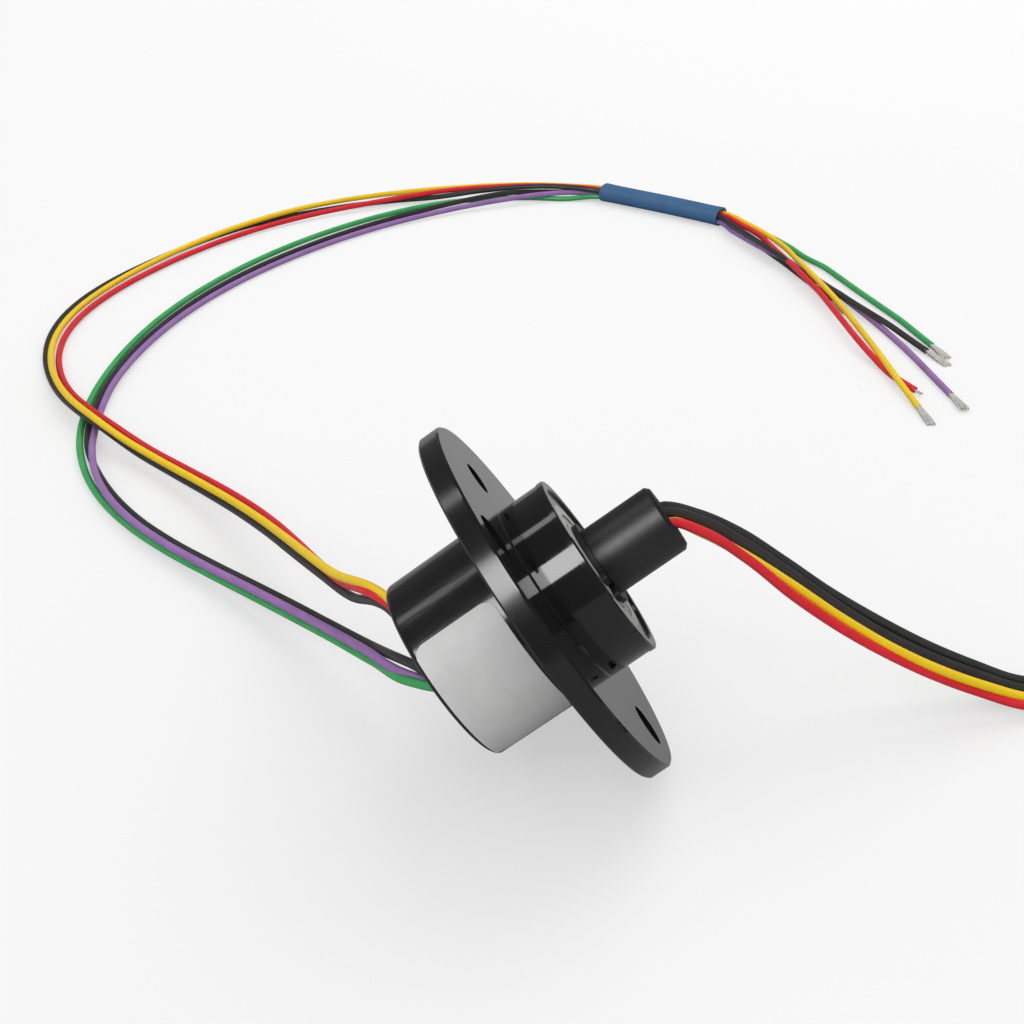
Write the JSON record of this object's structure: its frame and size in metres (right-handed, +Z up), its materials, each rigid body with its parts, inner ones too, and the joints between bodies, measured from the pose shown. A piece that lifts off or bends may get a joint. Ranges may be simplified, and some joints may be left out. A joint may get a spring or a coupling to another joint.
{
  "type": "slip ring",
  "caption": "Flanged capsule slip ring: a turning shaft in a round black housing passes electrical circuits between free leads on both sides.",
  "frame": {"origin": "middle of the base of the housing and shaft's box, on the surface the part lies on, with the leads left out", "axes": "+Z up as it lies; +Y along the width of the flange, away from the viewer; the shaft's axis lies in the XZ plane, rising towards +X"},
  "size_m": [0.1564, 0.2508, 0.0383],
  "materials": {
    "housing": "glossy moulded black",
    "cap": "semi-gloss black",
    "label": "satin silver-white film, bare",
    "potting": "cast resin",
    "bearing_steel": "ground steel",
    "cage": "pressed",
    "shield": "pressed steel",
    "brush_block": "moulded",
    "contact_gold": "gold plated",
    "barrier": "moulded",
    "shaft": "satin black",
    "insulation_black": "semi-gloss flexible",
    "insulation_yellow": "semi-gloss flexible",
    "insulation_red": "semi-gloss flexible",
    "insulation_green": "semi-gloss flexible",
    "insulation_violet": "semi-gloss flexible",
    "tinned_copper": "tinned strands",
    "sleeve": "satin heat-shrink",
    "tie": "flexible tie"
  },
  "bodies": {
    "stator": {"flange_housing": "housing", "front_bearing_cap": "cap", "rear_cap": "cap", "label": "label", "lead_potting_upper": "potting", "lead_potting_lower": "potting", "front_bearing_outer_ring": "bearing_steel", "front_bearing_balls": "bearing_steel", "front_bearing_cage": "cage", "front_bearing_shield": "shield", "rear_bearing_outer_ring": "bearing_steel", "rear_bearing_balls": "bearing_steel", "brush_block_left": "brush_block", "brush_block_right": "brush_block", "brush_wires_1": "contact_gold", "brush_wires_2": "contact_gold", "brush_wires_3": "contact_gold", "brush_wires_4": "contact_gold", "brush_wires_5": "contact_gold", "brush_wires_6": "contact_gold", "stator_lead_black_1": "insulation_black", "stator_lead_yellow": "insulation_yellow", "stator_lead_red": "insulation_red", "stator_lead_green": "insulation_green", "stator_lead_black_2": "insulation_black", "stator_lead_violet": "insulation_violet", "stator_lead_tips": "tinned_copper", "heat_shrink_sleeve": "sleeve"},
    "rotor": {"rotor_shaft": "shaft", "front_bearing_inner_ring": "bearing_steel", "rear_bearing_inner_ring": "bearing_steel", "retaining_ring": "shield", "nose_plug": "potting", "contact_ring_1": "contact_gold", "contact_ring_2": "contact_gold", "contact_ring_3": "contact_gold", "contact_ring_4": "contact_gold", "contact_ring_5": "contact_gold", "contact_ring_6": "contact_gold", "ring_barriers": "barrier", "stack_washer": "shield", "rotor_lead_black_1": "insulation_black", "rotor_lead_black_2": "insulation_black", "rotor_lead_yellow": "insulation_yellow", "rotor_lead_red": "insulation_red", "rotor_lead_green": "insulation_green", "rotor_lead_violet": "insulation_violet", "rotor_lead_coil": "insulation_black", "coil_tie": "tie", "rotor_lead_tails": "insulation_black"}
  },
  "joints": [
    {"name": "rotor_spin", "type": "hinge", "parent": "stator", "child": "rotor", "pos_m": [0.00213, 0, 0.01986], "axis": [0.8329, 0, 0.5534], "continuous": true}
  ]
}
